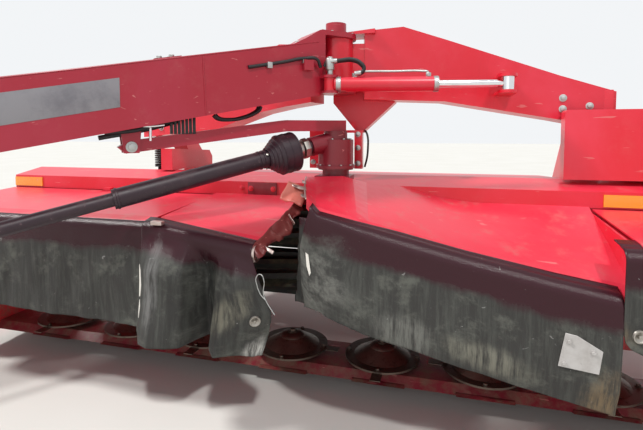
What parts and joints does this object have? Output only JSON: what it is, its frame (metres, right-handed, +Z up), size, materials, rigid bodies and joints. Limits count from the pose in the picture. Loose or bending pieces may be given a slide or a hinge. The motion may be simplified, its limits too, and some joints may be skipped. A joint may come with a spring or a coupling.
{
  "type": "disc mower conditioner",
  "caption": "Towed disc mower conditioner with a centre pivot tongue swung to one side, an arched frame, hinged front shields with curtains, and transport wheels.",
  "frame": {"origin": "on the ground, under the middle of the machine's outline as it stands with its tongue swung", "axes": "+Z up, -Y the direction of travel, +X the machine's left side"},
  "size_m": [6.158, 6.0389, 1.885],
  "materials": {
    "red_paint": "aged gloss",
    "dark_red_paint": "dusty",
    "black_paint": "satin",
    "curtain_rubber": "matt, dusty",
    "hose_rubber": "moulded, dusty",
    "disc_steel": "worn",
    "roll_rubber": "moulded",
    "zinc_steel": "zinc",
    "chrome_rod": "polished",
    "amber_lens": "prismatic",
    "cream_paint": "gloss",
    "tyre": "worn"
  },
  "bodies": {
    "chassis": {"main_frame": "red_paint", "header_shell": "red_paint", "cutterbar": "dark_red_paint", "header_gearbox": "dark_red_paint", "drive_box": "red_paint", "drive_tower": "red_paint", "float_links": "black_paint", "reflectors": "amber_lens", "inner_shield_left": "red_paint", "inner_shield_right": "red_paint", "inner_curtain_left": "curtain_rubber", "inner_curtain_right": "curtain_rubber"},
    "shield_left": {"outer_shield_left": "red_paint", "outer_curtain_left": "curtain_rubber"},
    "shield_right": {"outer_shield_right": "red_paint", "outer_curtain_right": "curtain_rubber"},
    "disc_1_body": {"disc_1": "disc_steel"},
    "disc_2_body": {"disc_2": "disc_steel"},
    "disc_3_body": {"disc_3": "disc_steel"},
    "disc_4_body": {"disc_4": "disc_steel"},
    "disc_5_body": {"disc_5": "disc_steel"},
    "disc_6_body": {"disc_6": "disc_steel"},
    "disc_7_body": {"disc_7": "disc_steel"},
    "disc_8_body": {"disc_8": "disc_steel"},
    "lower_roll": {"roll_lower": "roll_rubber"},
    "upper_roll": {"roll_upper": "roll_rubber"},
    "swathboard_body": {"swathboard": "red_paint"},
    "windrow_left_body": {"windrow_left": "red_paint"},
    "windrow_right_body": {"windrow_right": "red_paint"},
    "tongue": {"tongue_beam": "red_paint", "hitch_clevis": "dark_red_paint", "driveline_carrier": "dark_red_paint", "driveline_front": "black_paint", "jack_tube": "black_paint", "tongue_hoses": "hose_rubber"},
    "jack": {"jack_leg": "zinc_steel"},
    "swivel": {"swivel_gearbox": "dark_red_paint", "driveline_rear": "black_paint", "steering_arm": "dark_red_paint"},
    "swing_barrel_body": {"swing_barrel": "dark_red_paint", "swing_hoses": "hose_rubber"},
    "swing_rod_body": {"swing_rod": "chrome_rod"},
    "arm_left": {"wheel_arm_left": "red_paint"},
    "arm_right": {"wheel_arm_right": "red_paint"},
    "lift_barrel_left_body": {"lift_barrel_left": "black_paint"},
    "lift_barrel_right_body": {"lift_barrel_right": "black_paint"},
    "lift_rod_left_body": {"lift_rod_left": "chrome_rod"},
    "lift_rod_right_body": {"lift_rod_right": "chrome_rod"},
    "wheel_left": {"rim_left": "cream_paint", "tyre_left": "tyre"},
    "wheel_right": {"rim_right": "cream_paint", "tyre_right": "tyre"}
  },
  "joints": [
    {"name": "tongue_swing", "type": "hinge", "parent": "chassis", "child": "tongue", "pos_m": [0.86504, 0.92454, 1.66], "axis": [0, 0, 1], "range_deg": [0, 80]},
    {"name": "swivel_turn", "type": "hinge", "parent": "chassis", "child": "swivel", "pos_m": [0.86504, 0.92454, 1.2], "axis": [0, 0, 1], "range_deg": [0, 80]},
    {"name": "swing_barrel_turn", "type": "hinge", "parent": "tongue", "child": "swing_barrel_body", "pos_m": [0.8816, 0.73527, 1.556], "axis": [0, 0, 1], "range_deg": [-92.53, 0]},
    {"name": "swing_rod_slide", "type": "slide", "parent": "swing_barrel_body", "child": "swing_rod_body", "axis": [0.9791, 0.2033, 0], "range_m": [-0.19109, 0]},
    {"name": "jack_slide", "type": "slide", "parent": "tongue", "child": "jack", "axis": [0, 0, 1], "range_m": [-0.1, 0.3]},
    {"name": "arm_left_lift", "type": "hinge", "parent": "chassis", "child": "arm_left", "pos_m": [2.17204, 2.04454, 0.64], "axis": [-1, 0, 0], "range_deg": [0, 25]},
    {"name": "wheel_left_spin", "type": "hinge", "parent": "arm_left", "child": "wheel_left", "pos_m": [2.48504, 2.62454, 0.395], "axis": [1, 0, 0], "continuous": true},
    {"name": "lift_barrel_left_turn", "type": "hinge", "parent": "chassis", "child": "lift_barrel_left_body", "pos_m": [2.27504, 1.64454, 1.262], "axis": [-1, 0, 0], "range_deg": [0, 7.28]},
    {"name": "lift_rod_left_slide", "type": "slide", "parent": "lift_barrel_left_body", "child": "lift_rod_left_body", "axis": [0, 0.755, -0.6557], "range_m": [0, 0.07346]},
    {"name": "arm_right_lift", "type": "hinge", "parent": "chassis", "child": "arm_right", "pos_m": [-0.44196, 2.04454, 0.64], "axis": [-1, 0, 0], "range_deg": [0, 25]},
    {"name": "wheel_right_spin", "type": "hinge", "parent": "arm_right", "child": "wheel_right", "pos_m": [-0.75496, 2.62454, 0.395], "axis": [1, 0, 0], "continuous": true},
    {"name": "lift_barrel_right_turn", "type": "hinge", "parent": "chassis", "child": "lift_barrel_right_body", "pos_m": [-0.54496, 1.64454, 1.262], "axis": [-1, 0, 0], "range_deg": [0, 7.28]},
    {"name": "lift_rod_right_slide", "type": "slide", "parent": "lift_barrel_right_body", "child": "lift_rod_right_body", "axis": [0, 0.755, -0.6557], "range_m": [0, 0.07346]},
    {"name": "disc_1_spin", "type": "hinge", "parent": "chassis", "child": "disc_1_body", "pos_m": [-0.88496, 0.94454, 0.16], "axis": [0, 0, 1], "continuous": true},
    {"name": "disc_2_spin", "type": "hinge", "parent": "chassis", "child": "disc_2_body", "pos_m": [-0.38496, 0.94454, 0.16], "axis": [0, 0, 1], "continuous": true},
    {"name": "disc_3_spin", "type": "hinge", "parent": "chassis", "child": "disc_3_body", "pos_m": [0.11504, 0.94454, 0.16], "axis": [0, 0, 1], "continuous": true},
    {"name": "disc_4_spin", "type": "hinge", "parent": "chassis", "child": "disc_4_body", "pos_m": [0.61504, 0.94454, 0.16], "axis": [0, 0, 1], "continuous": true},
    {"name": "disc_5_spin", "type": "hinge", "parent": "chassis", "child": "disc_5_body", "pos_m": [1.11504, 0.94454, 0.16], "axis": [0, 0, 1], "continuous": true},
    {"name": "disc_6_spin", "type": "hinge", "parent": "chassis", "child": "disc_6_body", "pos_m": [1.61504, 0.94454, 0.16], "axis": [0, 0, 1], "continuous": true},
    {"name": "disc_7_spin", "type": "hinge", "parent": "chassis", "child": "disc_7_body", "pos_m": [2.11504, 0.94454, 0.16], "axis": [0, 0, 1], "continuous": true},
    {"name": "disc_8_spin", "type": "hinge", "parent": "chassis", "child": "disc_8_body", "pos_m": [2.61504, 0.94454, 0.16], "axis": [0, 0, 1], "continuous": true},
    {"name": "lower_roll_spin", "type": "hinge", "parent": "chassis", "child": "lower_roll", "pos_m": [0.86504, 1.44454, 0.4], "axis": [1, 0, 0], "continuous": true},
    {"name": "upper_roll_spin", "type": "hinge", "parent": "chassis", "child": "upper_roll", "pos_m": [0.86504, 1.52454, 0.69], "axis": [1, 0, 0], "continuous": true},
    {"name": "shield_left_open", "type": "hinge", "parent": "chassis", "child": "shield_left", "pos_m": [-0.59196, 0.94654, 0.961], "axis": [-1, 0, 0], "range_deg": [0, 35]},
    {"name": "shield_right_open", "type": "hinge", "parent": "chassis", "child": "shield_right", "pos_m": [2.52004, 0.94654, 0.961], "axis": [-1, 0, 0], "range_deg": [0, 80]},
    {"name": "swathboard_tilt", "type": "hinge", "parent": "chassis", "child": "swathboard_body", "pos_m": [0.86504, 1.90954, 0.935], "axis": [1, 0, 0], "range_deg": [-20, 20]},
    {"name": "windrow_left_turn", "type": "hinge", "parent": "chassis", "child": "windrow_left_body", "pos_m": [1.97304, 2.07454, 0.65], "axis": [0, 0, 1], "range_deg": [-15, 15]},
    {"name": "windrow_right_turn", "type": "hinge", "parent": "chassis", "child": "windrow_right_body", "pos_m": [-0.24296, 2.07454, 0.65], "axis": [0, 0, 1], "range_deg": [-15, 15]}
  ],
  "couplings": [
    {"joint": "swivel_turn", "follows": "tongue_swing", "ratio": 1},
    {"joint": "swing_barrel_turn", "follows": "tongue_swing", "ratio": -1.1504},
    {"joint": "swing_rod_slide", "follows": "tongue_swing", "m_per_rad": -0.13614},
    {"joint": "lift_barrel_left_turn", "follows": "arm_left_lift", "ratio": 0.28335},
    {"joint": "lift_rod_left_slide", "follows": "arm_left_lift", "m_per_rad": 0.16378},
    {"joint": "lift_barrel_right_turn", "follows": "arm_left_lift", "ratio": 0.28335},
    {"joint": "lift_rod_right_slide", "follows": "arm_left_lift", "m_per_rad": 0.16378},
    {"joint": "arm_right_lift", "follows": "arm_left_lift", "ratio": 1},
    {"joint": "disc_2_spin", "follows": "disc_1_spin", "ratio": -1},
    {"joint": "disc_3_spin", "follows": "disc_1_spin", "ratio": 1},
    {"joint": "disc_4_spin", "follows": "disc_1_spin", "ratio": -1},
    {"joint": "disc_5_spin", "follows": "disc_1_spin", "ratio": 1},
    {"joint": "disc_6_spin", "follows": "disc_1_spin", "ratio": -1},
    {"joint": "disc_7_spin", "follows": "disc_1_spin", "ratio": 1},
    {"joint": "disc_8_spin", "follows": "disc_1_spin", "ratio": -1},
    {"joint": "upper_roll_spin", "follows": "lower_roll_spin", "ratio": -1}
  ]
}
